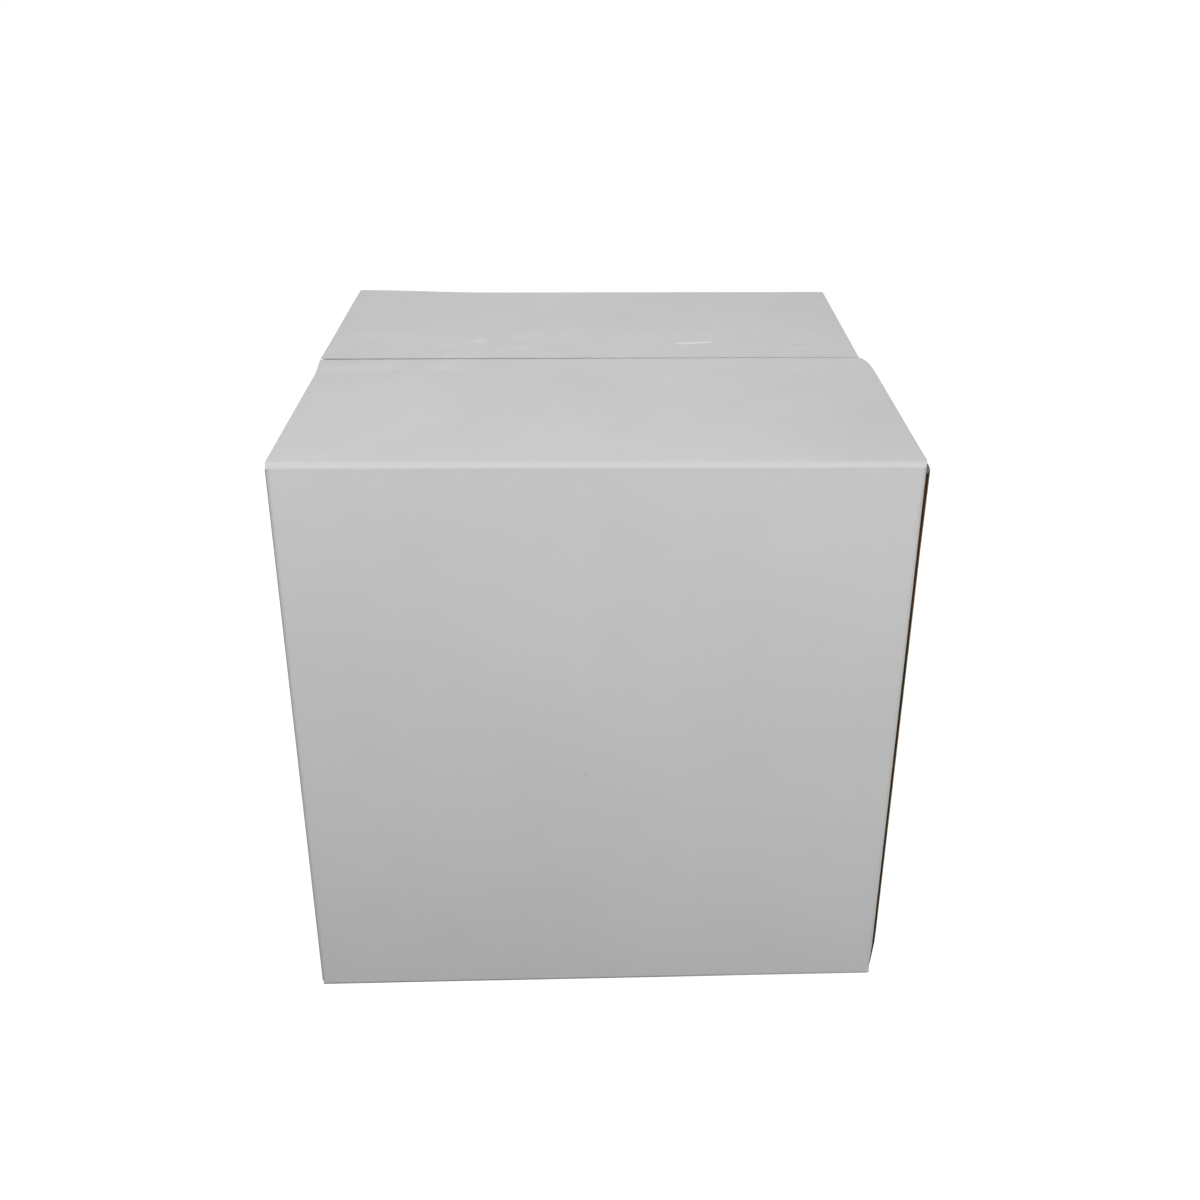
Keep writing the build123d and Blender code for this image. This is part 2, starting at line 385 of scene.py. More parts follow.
def smooth(mesh):
    mesh.polygons.foreach_set("use_smooth", np.ones(len(mesh.polygons), bool))
    mesh.set_sharp_from_angle(angle=SHARP)
    mesh.update()


def new_mesh(name, points, faces, materials):
    mesh = bpy.data.meshes.new(name)
    mesh.from_pydata(points, [], faces)
    for material in materials:
        mesh.materials.append(material)
    return mesh


def store(mesh, label, values):
    """Keeps one value for each point, for the shaders to read."""
    mesh.attributes.new(label, "FLOAT", "POINT").data.foreach_set("value", values.astype(np.float32))


def sheet_mesh(name, outer, inner, materials, keep=None, **values):
    """Closes two matching grids of points, seen with their rows going up and their columns to the right."""
    rows, columns = outer.shape[:2]
    count = rows * columns
    index = np.arange(count).reshape(rows, columns)
    cells = np.stack([index[:-1, :-1], index[:-1, 1:], index[1:, 1:], index[1:, :-1]], -1)
    cells = cells.reshape(-1, 4) if keep is None else cells[keep]
    edges = {tuple(edge) for corner in range(4) for edge in cells[:, [corner, (corner + 1) % 4]].tolist()}
    rim = [(b, a, a + count, b + count) for a, b in sorted(edges) if (b, a) not in edges]
    faces = np.concatenate([cells, cells[:, ::-1] + count, np.array(rim)])
    used, faces = np.unique(faces, return_inverse=True)
    points = np.concatenate([outer.reshape(-1, 3), inner.reshape(-1, 3)])[used]
    mesh = new_mesh(name, points.tolist(), faces.reshape(-1, 4).tolist(), materials)
    group = np.repeat([0, 1, 2], [len(cells), len(cells), len(rim)])
    mesh.polygons.foreach_set("material_index", group.astype(np.int32))
    for label, value in values.items():
        store(mesh, label, np.tile(value.reshape(-1), 2)[used])
    smooth(mesh)
    return mesh


print("sheet helper ready")

# %% [markdown]
# ## Plan of the walls
# The white liner of the four walls is one sheet. It starts at the raw edge of the right wall, goes round three
# folded corners, and turns in at the glue tab, so it is drawn as one strip along that plan. An array could repeat
# one wall four times, but then each corner would need a seam.

# %% Plan of the walls
FOLD_STEPS = 12
WALL_STEPS = 40
RIGHT, BACK, LEFT, FRONT, FOLD = 0, 1, 2, 3, -1  # walls in the order of the plan
CORNERS = ((SCORE, SCORE, 0), (-SCORE, SCORE, 90), (-SCORE, -SCORE, 180), (TAB_FOLD, -SCORE, 270))


def arc_points(centre_x, centre_y, first_angle, radius, steps):
    angles = np.radians(np.linspace(first_angle, first_angle + 90, steps + 1))
    outward = np.stack([np.cos(angles), np.sin(angles)], -1)
    return np.array([centre_x, centre_y]) + radius * outward, outward


def wall_plan():
    """Points of the plan, the way out at each, its wall or fold, and its share along the wall."""
    places, ways, walls, shares = [], [], [], []
    begin = np.array([HALF, RAW_EDGE])
    for wall, corner in enumerate(CORNERS):
        fold, outward = arc_points(*corner, BOARD, FOLD_STEPS)
        share = np.linspace(0, 1, WALL_STEPS + 1)
        flat = begin + (fold[0] - begin) * share[:, None]
        places += [flat[:-1], fold[:-1]]
        ways += [np.tile(outward[0], (WALL_STEPS, 1)), outward[:-1]]
        walls += [np.full(WALL_STEPS, wall), np.full(FOLD_STEPS, FOLD)]
        shares += [share[:-1], np.zeros(FOLD_STEPS)]
        begin = fold[-1]
    ends = (fold[-1:], outward[-1:], [FOLD], [0])
    return [np.concatenate(row + [end]) for row, end in zip((places, ways, walls, shares), ends)]


plan, ways, walls, shares = wall_plan()
around = np.concatenate([[0], np.cumsum(np.linalg.norm(np.diff(plan, axis=0), axis=1))])
print("the liner is %.0f mm long round the walls" % (around[-1] / MM))

# %% [markdown]
# ## How handling has moved the walls
# A used carton is a little out of square. The glued corner leans to the right and is pressed in at the floor, the
# raw edge next to it springs out, most at its top, and the folds above the front and rear walls aren't level.
# Sculpting could do that to one mesh, but small functions of the place let the walls, the flutes behind the raw
# edge, the folds and the lid all move alike, so nothing comes apart.

# %% Lean, spring and tilt
RAW_SPRING, RAW_REACH = 0.63 * MM, 60 * MM  # the raw edge stands out, over this length of the right wall
FLARE, FLARE_HIGH = 0.3 * MM, 45 * MM  # more at its upper end
PINCH, PINCH_HIGH, PINCH_DEEP = 1.95 * MM, 23 * MM, 35 * MM  # and it is pressed in at its lower end
TAB_PINCH = 0.45 * MM  # the glued corner is pressed in there too
LEAN_TOP, LEAN_BASE = 0.14 * MM, 0.37 * MM  # the glued corner lies further to the right at the base
TILT_MIDDLE, TILT = 0.04 * MM, -0.26 * MM  # the front fold is lower on the right
REAR_LEVEL, REAR_SLOPE = -0.07 * MM, 0.56 * MM  # the rear fold is higher on the right
REAR_RISE, REAR_REACH = 1.77 * MM, 85 * MM  # and rises to its left end
TILT_REACH = 40 * MM  # the front and rear walls give way over this height


def ease(share):
    """A smooth step from 0 to 1."""
    share = np.clip(share, 0, 1)
    return share * share * (3 - 2 * share)


def raw_spring(y, z):
    """How far the right wall stands out near its raw edge."""
    pinched = PINCH * np.clip(1 - z / PINCH_HIGH, 0, 1) * ease((RAW_EDGE + PINCH_DEEP - y) / PINCH_DEEP)
    flared = FLARE * ease((z - side_high.z + FLARE_HIGH) / FLARE_HIGH)
    return (RAW_SPRING + flared) * ease((RAW_EDGE + RAW_REACH - y) / RAW_REACH) - pinched


def tab_lean(z):
    """How far the glued corner lies to the right."""
    return LEAN_BASE + (LEAN_TOP - LEAN_BASE) * z / HEIGHT - TAB_PINCH * np.clip(1 - z / PINCH_HIGH, 0, 1)


def front_tilt(x):
    """How much higher than level the fold above the front wall lies."""
    return TILT_MIDDLE + TILT * x / HALF


def rear_tilt(x):
    return REAR_LEVEL + REAR_SLOPE * x / HALF + REAR_RISE * ease((REAR_REACH - SCORE - x) / REAR_REACH)


TILTS = {"front": front_tilt, "rear": rear_tilt}
print("raw edge stands out by %.2f mm at its top" % (raw_spring(RAW_EDGE, side_high.z) / MM))

# %% [markdown]
# ## The wrapped walls
# The front and back stand as high as the outer flaps and the sides only as high as the inner ones: cells above
# and below the sides are left out. Paper on board is never quite flat, so each wall bows out by half a millimetre
# or so, with a few seeded cosines for soft unevenness that fades to nothing at the folds. A Displace modifier
# could do that, but the tape has to follow the same bow. The edges are rubbed, and the rounding of the front left
# corner gets painted shade, strongest where it turns to the side face.

# %% Bow of the walls
BOW = (0.5 * MM, 0.5 * MM, 0.5 * MM, 0.55 * MM)  # right, back, left, front
BOW_SPREAD = 0.8  # below 1, the bow is flatter in the middle
UNEVEN = 0.22 * MM
WAVE_COUNT, WAVE_TURNS = 6, (0.4, 2.6)  # waves on a wall, and how often each may turn over it
rng = np.random.default_rng(41)
WAVES = [
    [(rng.uniform(*WAVE_TURNS), rng.uniform(*WAVE_TURNS), rng.uniform(0, 2 * math.pi)) for _ in range(WAVE_COUNT)]
    for _ in BOW
]


def soft_waves(waves, u, v):
    return sum(np.cos(2 * math.pi * (a * u + b * v) + shift) for a, b, shift in waves) / len(waves)


def bow(wall, u, v):
    """How far a wall stands out from flat, at shares u along it and v up it."""
    rise = (16 * u * (1 - u) * v * (1 - v)) ** BOW_SPREAD
    out = rise * (BOW[wall] + UNEVEN * soft_waves(WAVES[wall], u, v))
    if wall == RIGHT:
        out = out + raw_spring(RAW_EDGE + u * (SCORE - RAW_EDGE), side_low.z + v * (side_high.z - side_low.z))
    return out


levels = np.concatenate(
    [
        np.linspace(front_low.z, side_low.z, 3)[:-1],
        np.linspace(side_low.z, side_high.z, WALL_STEPS + 1),
        np.linspace(side_high.z, front_high.z, 3)[1:],
    ]
)
height_share = np.clip((levels - side_low.z) / (side_high.z - side_low.z), 0, 1)
lift = np.zeros((len(levels), len(plan)))
for wall in (RIGHT, BACK, LEFT, FRONT):
    columns = np.flatnonzero(walls == wall)
    lift[:, columns] = bow(wall, shares[columns][None, :], height_share[:, None])
print("bow up to %.2f mm" % (lift.max() / MM))

# %% White liner of the walls
RUBBED_FOLD, TAB_END_TINT, RUBBED_REACH = 0.12, 0.9, 4 * MM
CORNER_SHADE, SHADE_UNTIL, SHADE_FADE = 0.55, 0.75, 0.5  # painted shade on the front left corner's rounding, and where it ends
near_tab = np.where(walls == FRONT, shares, np.arange(len(plan)) >= len(plan) - FOLD_STEPS - 1)


def stood_up(depth):
    """Points of the liner, this deep below its outer face."""
    flat = plan[None, :, :] + ways[None, :, :] * (lift - depth)[:, :, None]
    tall = np.broadcast_to(levels[:, None], flat.shape[:2])
    flat[..., 0] += near_tab * tab_lean(tall)
    forward, x = -ways[:, 1], flat[..., 0]
    near_top = ease((tall - levels[-1] + TILT_REACH) / TILT_REACH)
    tilt = np.clip(forward, 0, 1) * front_tilt(x) + np.clip(-forward, 0, 1) * rear_tilt(x)
    return np.concatenate([flat, (tall + near_top * tilt)[..., None]], -1)


short_wall = np.isin(walls[:-1], (RIGHT, LEFT))
left_start, front_start = (np.flatnonzero(walls == wall)[0] for wall in (LEFT, FRONT))
short_wall[left_start - FOLD_STEPS : left_start] = True  # the rear left fold ends at the slot
outside_sides = (levels[:-1] < side_low.z - LINER) | (levels[:-1] >= side_high.z - LINER)
keep = ~(outside_sides[:, None] & short_wall[None, :])
worn = np.zeros(lift.shape)
worn[:, walls == FOLD] = RUBBED_FOLD
# A cream tint over the last third of the glue tab's fold.
worn[:, -FOLD_STEPS // 3 :] = TAB_END_TINT  # the last third of the glue tab's fold
worn[:, 0] = 1.0  # the raw edge
from_end = np.minimum(levels - levels[0], levels[-1] - levels)
worn = np.maximum(worn, RUBBED_FOLD * np.exp(-from_end / RUBBED_REACH)[:, None])
# Painted shade on the rounding of the front left corner, strongest towards the side face.
soil = np.zeros(lift.shape)
round_corner = np.arange(FOLD_STEPS) / FOLD_STEPS  # from the side face to the front
soil[:, front_start - FOLD_STEPS : front_start] = CORNER_SHADE * ease((SHADE_UNTIL - round_corner) / SHADE_FADE)
liner_faces = (white_sheet, crushed_board, cut_edge)
wall_mesh = sheet_mesh(
    "walls_white_liner", stood_up(0.0), stood_up(LINER), liner_faces, keep,
    across=np.tile(around, (len(levels), 1)), worn=worn, soil=soil,
)
new_piece(
    "walls_white_liner", wall_mesh, "carton",
    [f"{side}_panel_white_liner" for side in ("front", "back", "left", "right")],
)
print("wall liner:", len(wall_mesh.polygons), "faces")

# %% [markdown]
# ## Cores of the upright folds
# Inside each folded corner the flutes are crushed to a solid brown wedge, which shows at the top and bottom ends of
# the fold. A quarter-round prism under the liner stands for it. The liner and the core together take the place of
# the CAD crease, which is a single solid.

# %% Corner cores
def core_mesh(name, low, high):
    points, faces = [], []
    for corner in CORNERS:
        arc, _ = arc_points(*corner, BOARD - LINER, FOLD_STEPS)
        ring = np.concatenate([[corner[:2]], arc])
        size, first = len(ring), len(points)
        leaning = corner == CORNERS[FRONT]
        top = side_high.z if corner == CORNERS[BACK] else high
        points += [(x + leaning * tab_lean(z), y, z) for z in (low, top) for x, y in ring.tolist()]
        faces.append([first + i for i in reversed(range(size))])
        faces.append([first + size + i for i in range(size)])
        for i in range(size):
            j = (i + 1) % size
            faces.append([first + i, first + j, first + size + j, first + size + i])
    mesh = new_mesh(name, points, faces, [crushed_board])
    smooth(mesh)
    return mesh


cores = core_mesh("corner_fold_cores", front_low.z, front_high.z)
new_piece(
    "corner_fold_cores", cores, "carton",
    ("front_left_corner_crease", "back_left_corner_crease", "back_right_corner_crease", "glue_tab_crease"),
)
print("corner cores:", len(cores.polygons), "faces")

# %% [markdown]
# ## How the lid lies
# The two outer flaps of the lid are closed over the inner ones, but they don't lie dead flat or square: at the seam
# the right ends stand a little higher than the left ones, each flap is a little askew, and the seam slants. The
# front flap's right corner is rounded by wear, and its left corner is squashed, so it spreads sideways. One
# function holds all of that and moves any point of either flap, so its liners, its flutes and its tape stay
# together. A Lattice could bend them as well, but its reach is harder to read than these few sizes.

# %% Shape of the outer flaps
FLAPS = {}
for side, node in (("front", "top_front_flap_white_liner"), ("rear", "top_rear_flap_white_liner")):
    low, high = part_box(node)
    fold, free = (low.y, high.y) if side == "front" else (high.y, low.y)
    FLAPS[side] = {"left": low.x, "right": high.x, "fold": fold, "free": free}

LIFT = {"front": (0.34 * MM, 0.40 * MM), "rear": (0.26 * MM, 0.29 * MM)}  # in the middle, and more on the right
SKEW = {  # how far the left and the right edge lie to the right, at the fold and at the free edge
    "front": ((-0.37 * MM, -0.22 * MM), (1.14 * MM, 1.68 * MM)),
    "rear": ((0.54 * MM, 1.24 * MM), (-2.31 * MM, -2.43 * MM)),
}
SLANT = 0.49 * MM  # the seam lies further back on the right
WORN_ACROSS, WORN_ALONG = 4.5 * MM, 20.0 * MM  # size of the worn corner
SQUASHED_ALONG, SQUASHED_IN = 24 * MM, 16 * MM  # reach of the squashed corner
SPREAD, SINK = 1.8 * MM, 0.1 * MM


def skew(x, side):
    """How far points of a flap lie to the right, at its fold and at its free edge."""
    flap = FLAPS[side]
    aside = (x - flap["left"]) / (flap["right"] - flap["left"])
    return [left + (right - left) * aside for left, right in SKEW[side]]


def settle(points, side):
    """Moves flat points of an outer flap to where handling has left them."""
    flap = FLAPS[side]
    x, y, z = np.moveaxis(points, -1, 0).copy()
    reach = flap["free"] - flap["fold"]
    share = (y - flap["fold"]) / reach
    if side == "front":
        over = np.clip((x - flap["right"] + WORN_ACROSS) / WORN_ACROSS, 0, 1)
        lost = WORN_ALONG * (1 - np.sqrt(1 - over**2))
        y = flap["fold"] + share * (reach - lost)
        corner = np.clip((y - flap["free"] + SQUASHED_ALONG) / SQUASHED_ALONG, 0, 1)
        corner = corner * ease((flap["left"] + SQUASHED_IN - x) / SQUASHED_IN)
        upper = np.clip((z - HEIGHT + BOARD) / BOARD, 0, 1)
        x = x - SPREAD * corner
        z = z - SINK * corner * upper
    middle, slope = LIFT[side]
    z = z + (1 - ease(share)) * TILTS[side](x)
    z = z + ease(share) * (middle + slope * x / HALF)
    y = y + SLANT * share * x / HALF
    at_fold, at_free = skew(x, side)
    x = x + at_fold + (at_free - at_fold) * share
    return np.stack([x, y, z], -1)


for side in FLAPS:
    ends = np.array([[FLAPS[side][end], FLAPS[side]["free"], HEIGHT] for end in ("left", "right")])
    print(side, "flap stands up at its ends by", np.round((settle(ends, side)[:, 2] - HEIGHT) / MM, 2), "mm")

# %% [markdown]
# ## Liners of the outer flaps
# Each flap has a white liner above and a brown one below. Their grids are finer in the worn corner, where the outline
# is part of an ellipse: columns placed by a sine keep that curve smooth. Both liners go through the function above,
# so the board keeps its thickness where it bends.

# %% White and brown liners of the lid
FLAP_COLUMNS, FLAP_ROWS, CORNER_COLUMNS = 44, 26, 10
EDGE_WORN, EDGE_REACH = 0.4, 1.2 * MM


def with_corner(columns, side):
    """Adds columns for the worn corner to those that end where it begins."""
    bent = np.sin(np.linspace(0, math.pi / 2, CORNER_COLUMNS + 1)[1:])
    return np.concatenate([columns, FLAPS[side]["right"] - WORN_ACROSS + WORN_ACROSS * bent])


def flat_grid(xs, ys, z):
    """Points of a level grid, with rows that go away from the front and columns that go to the right."""
    across, along = np.meshgrid(xs, np.sort(ys))
    return np.stack([across, along, np.full(across.shape, z)], -1)


def flap_liner(name, side, level, materials, replaced):
    flap = FLAPS[side]
    xs = with_corner(np.linspace(flap["left"], flap["right"] - WORN_ACROSS, FLAP_COLUMNS + 1), side)
    ys = np.linspace(flap["fold"], flap["free"], FLAP_ROWS + 1)
    upper, lower = flat_grid(xs, ys, level), flat_grid(xs, ys, level - LINER)
    x, y = upper[..., 0], upper[..., 1]
    edge = np.minimum(np.minimum(np.abs(y - flap["free"]), flap["right"] - x), x - flap["left"])
    mesh = sheet_mesh(
        name, settle(upper, side), settle(lower, side), materials,
        across=x, worn=EDGE_WORN * np.exp(-edge / EDGE_REACH),
    )
    new_piece(name, mesh, f"{side}_flap", [replaced])


kraft_faces = (crushed_board, kraft_sheet, crushed_board)
for side in FLAPS:
    for ply, level, faces in (("white", HEIGHT, liner_faces), ("kraft", HEIGHT - BOARD + LINER, kraft_faces)):
        liner = f"{ply}_liner"
        flap_liner(f"{side}_lid_{liner}", side, level, faces, f"top_{side}_flap_{liner}")
print("lid liners made for", ", ".join(FLAPS))

# %% [markdown]
# ## Fluted paper
# Between the liners runs a paper pressed into waves. It repeats by a rule, so it is a job for Geometry Nodes: a grid
# is bent by a sine of its X, a little noise with a fixed seed makes the crests uneven, and the sheet gets its
# thickness by extruding its faces and closing them with a flipped copy of the sheet. The sizes are inputs of the
# tree, so one tree makes all twelve flutings. A phase lets the lid's flutes end in a crest, because light would
# show through a half-open flute at the seam. Each result is turned into a plain mesh and set in its place.

# %% Geometry Nodes tree: fluted paper
FLUTE_INPUTS = dict.fromkeys(("Width", "Length", "Pitch", "Rise", "Paper", "Uneven", "Seed", "Phase"), VALUE)
FLUTE_INPUTS |= {"Columns": "NodeSocketInt", "Rows": "NodeSocketInt", "Material": "NodeSocketMaterial"}
CREST_NOISE = 90.0  # noise cells in a metre
MERGE = 0.002 * MM


def make_fluted_paper():
    tree = bpy.data.node_groups.new("fluted_paper", "GeometryNodeTree")
    tree.is_modifier = True
    add_sockets(tree, "OUTPUT", [("Geometry", "NodeSocketGeometry")])
    add_sockets(tree, "INPUT", FLUTE_INPUTS.items())
    given = put(tree, "NodeGroupInput").outputs
    sizes = {"Size X": "Width", "Size Y": "Length", "Vertices X": "Columns", "Vertices Y": "Rows"}
    grid = put(tree, "GeometryNodeMeshGrid", {key: given[name] for key, name in sizes.items()}).outputs["Mesh"]

    place = put(tree, "GeometryNodeInputPosition").outputs[0]
    across = put(tree, "ShaderNodeSeparateXYZ", {0: place}).outputs["X"]
    turns = calc(tree, "MULTIPLY", calc(tree, "DIVIDE", across, given["Pitch"]), 2 * math.pi)
    wave = calc(tree, "SINE", calc(tree, "ADD", turns, given["Phase"]))
    wave = calc(tree, "MULTIPLY", wave, given["Rise"])
    cells = {"Vector": place, "W": given["Seed"], "Scale": CREST_NOISE}
    rough = put(tree, "ShaderNodeTexNoise", cells, noise_dimensions="4D").outputs["Fac"]
    wander = calc(tree, "MULTIPLY", calc(tree, "SUBTRACT", rough, 0.5), given["Uneven"])

    rise = put(tree, "ShaderNodeCombineXYZ", {"Z": calc(tree, "ADD", wave, wander)}).outputs[0]
    bent = put(tree, "GeometryNodeSetPosition", {"Geometry": grid, "Offset": rise}).outputs[0]
    thick = put(tree, "ShaderNodeCombineXYZ", {"Z": given["Paper"]}).outputs[0]
    pulled = {"Mesh": bent, "Offset": thick, "Individual": False}
    upper = put(tree, "GeometryNodeExtrudeMesh", pulled).outputs["Mesh"]
    lower = put(tree, "GeometryNodeFlipFaces", {"Mesh": bent}).outputs[0]
    both = put(tree, "GeometryNodeJoinGeometry")
    tree.links.new(upper, both.inputs[0])
    tree.links.new(lower, both.inputs[0])
    closing = {"Geometry": both.outputs[0], "Distance": MERGE}
    closed = put(tree, "GeometryNodeMergeByDistance", closing).outputs[0]
    whole = put(tree, "GeometryNodeRealizeInstances", {"Geometry": closed}).outputs[0]
    dressed = put(tree, "GeometryNodeSetMaterial", {"Geometry": whole, "Material": given["Material"]})
    put(tree, "NodeGroupOutput", {"Geometry": dressed.outputs[0]})
    return tree


fluted_paper = make_fluted_paper()
print("tree:", fluted_paper.name, "with", len(fluted_paper.nodes), "nodes")

# %% Twelve flutings
MEDIUM = 0.3 * MM  # thickness of the fluted paper
CREST_ROOM = 1.2  # thicknesses that the waves leave free
UNEVEN_CREST = 0.1 * MM
FLUTE_STEPS = 10  # faces across one flute
OUTER_LID = ("top_front_flap_fluting", "top_rear_flap_fluting")
FLUTE_ROWS = {"right_panel_fluting": 31} | dict.fromkeys(OUTER_LID, 19)  # where flutes bend along their length
STRAIGHT_ROWS = 3
X, Y, Z = 0, 1, 2


def grow(tree, name, inputs):
    """Runs a Geometry Nodes tree with these inputs and returns its result as a plain mesh."""
    carrier = add_object(name, bpy.data.meshes.new(f"{name}_seed"))
    modifier = carrier.modifiers.new(name, "NODES")
    modifier.node_group = tree
    for item in tree.interface.items_tree:
        if item.in_out == "INPUT":
            modifier[item.identifier] = inputs[item.name]
    graph = bpy.context.evaluated_depsgraph_get()
    mesh = bpy.data.meshes.new_from_object(carrier.evaluated_get(graph))
    carrier.modifiers.remove(modifier)
    bpy.data.objects.remove(carrier)
    mesh.name = name
    return mesh


def flute_axes(node):
    """The axes across and along the flutes of a wall or flap."""
    sideways = "left" in node or "right" in node
    if "panel" in node:
        return (Y if sideways else X), Z
    return (Y, X) if sideways else (X, Y)


def fluting(node, seed):
    low, high = (np.array(corner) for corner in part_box(node))
    across, along = flute_axes(node)
    size = high - low
    sizes = {
        "Width": size[across], "Length": size[along], "Pitch": PITCH, "Paper": MEDIUM,
        "Rise": (BOARD - 2 * LINER - CREST_ROOM * MEDIUM) / 2,
        "Columns": FLUTE_STEPS * round(size[across] / PITCH) + 1,
        "Rows": FLUTE_ROWS.get(node, STRAIGHT_ROWS),
        "Uneven": UNEVEN_CREST, "Seed": seed,
        "Phase": math.pi / 2 if node in OUTER_LID else 0.0,
        "Material": fluting_paper,
    }
    mesh = grow(fluted_paper, node + "_paper", sizes)
    turn = np.zeros((3, 3))
    turn[across, 0] = turn[along, 1] = 1
    turn[:, 2] = np.cross(turn[:, 0], turn[:, 1])
    points = np.empty(len(mesh.vertices) * 3)
    mesh.vertices.foreach_get("co", points)
    points = (points.reshape(-1, 3) - (0, 0, MEDIUM / 2)) @ turn.T + (low + high) / 2
    body = "carton"
    if node.startswith("top"):
        side = node.split("_")[1]
        body = f"{side}_flap"
        points = settle(points, side) if node in OUTER_LID else points
    if node == "right_panel_fluting":
        points[:, X] += (points[:, X] - low[X]) / size[X] * raw_spring(points[:, Y], points[:, Z])
    mesh.vertices.foreach_set("co", points.ravel())
    smooth(mesh)
    return new_piece(mesh.name, mesh, body, [node])


fluting_nodes = sorted(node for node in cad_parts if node.endswith("fluting"))
flutings = [fluting(node, float(seed)) for seed, node in enumerate(fluting_nodes)]
print("flutings:", len(flutings), "with", sum(len(piece.data.polygons) for piece in flutings), "faces")

# %% [markdown]
# ## Scored folds
# A flap turns on a score, a line where the board is crushed. When the flap opens, the paper of the fold has to bend:
# a rigid quarter round would leave a gap. Its inside reaches one board's thickness along both neighbours, as a low
# bead. The folds of the lid get a painted highlight along the middle of their arc. The four folds at the base don't
# move, so they ride on the carton, and get painted shade where they turn under towards the floor.

# %% Sizes and profile of a fold
STRIP_STEPS = 20
STRIP_ROWS = 40
BEAD = 0.15 * MM
END_GAP = 0.03 * MM
UNEVEN_FOLD, FOLD_PRESS, FOLD_DRIFT = 0.10 * MM, 0.5, 0.3
DRIFT_WAVES, DRIFT_TURNS = 5, 1.7
FOLD_WORN = 0.12
BASE_SHADE, SHADE_RISE, SHADE_DRIFT = 0.95, 1.7, 0.3  # painted shade of a lower fold where it turns under, how soon it is full, how it varies
LIGHTER_RIGHT, LIGHTER_FROM, LIGHTER_REACH = 0.6, 15 * MM, 80 * MM  # the front one has less painted shade to the right
END_SLANT, END_REACH = 1.3 * MM, 12 * MM  # the front fold's right end slants in towards the wall
RAW_END_REACH = 8 * MM  # at the raw edge the right fold is less pressed over this length
RAW_END_ANGLES = (0, 22, 41, 56, 67, 73, 80, 90)  # from the wall to the flap, in degrees
RAW_END_SWELL = (1, 1.03, 1.115, 1.29, 1.50, 1.42, 1.1, 1)  # and its size there against the pressed fold
BASE_LEAN, BASE_SLANT = 0.5 * MM, 1.3 * MM  # the base's front fold is pressed in on the right, most at the floor


def fold_profile():
    """Outer and inner path of a fold, along the way out of the wall and of the flap."""
    angle = np.linspace(0, math.pi / 2, STRIP_STEPS + 1)
    outer = np.stack([np.cos(angle), np.sin(angle)], -1) * BOARD
    reach = np.linspace(-BOARD, BOARD, STRIP_STEPS + 1)
    inner = np.stack([-np.maximum(reach, BEAD), np.minimum(reach, -BEAD)], -1)
    return outer, inner


def lay_fold(points, side):
    """Lays a fold of the lid where its flap begins, and slants the front fold's right end."""
    x = points[..., 0].copy()
    down = np.clip((HEIGHT - points[..., 2]) / BOARD, 0, 1)
    over = np.clip((x - HALF + END_REACH) / END_REACH, 0, 1) if side == "front" else 0.0
    points[..., 2] += TILTS[side](x)
    points[..., 0] += skew(x, side)[0] - END_SLANT * over * down
    return points


def fold_points(name, flat, places, corner, wall_out, flap_out, axis):
    """Puts one face of a fold in its place and moves it as its wall and its flap are moved."""
    points = corner + flat[..., :1] * wall_out + flat[..., 1:] * flap_out
    points[..., axis] = places[:, None]
    if wall_out[0] > 0:
        points[..., 0] += raw_spring(points[..., 1], points[..., 2]) * np.clip(flat[..., 0] / BOARD, 0, 1)
    if name in ("top_front_fold", "top_rear_fold"):
        points = lay_fold(points, name.split("_")[1])
    if name == "bottom_front_fold":
        pressed = BASE_LEAN + BASE_SLANT * np.clip(1 - points[..., 2] / BOARD, 0, 1)
        points[..., 0] -= pressed * np.clip(points[..., 0] / HALF, 0, 1)
    return points


print("a fold's outside is %.1f mm long" % (BOARD * math.pi / 2 / MM))

# %% Folds of the flaps
SIDES = {"front": (0, -1, 0), "rear": (0, 1, 0), "left": (-1, 0, 0), "right": (1, 0, 0)}
WAYS_UP = {"top": np.array([0.0, 0, 1]), "bottom": np.array([0.0, 0, -1])}


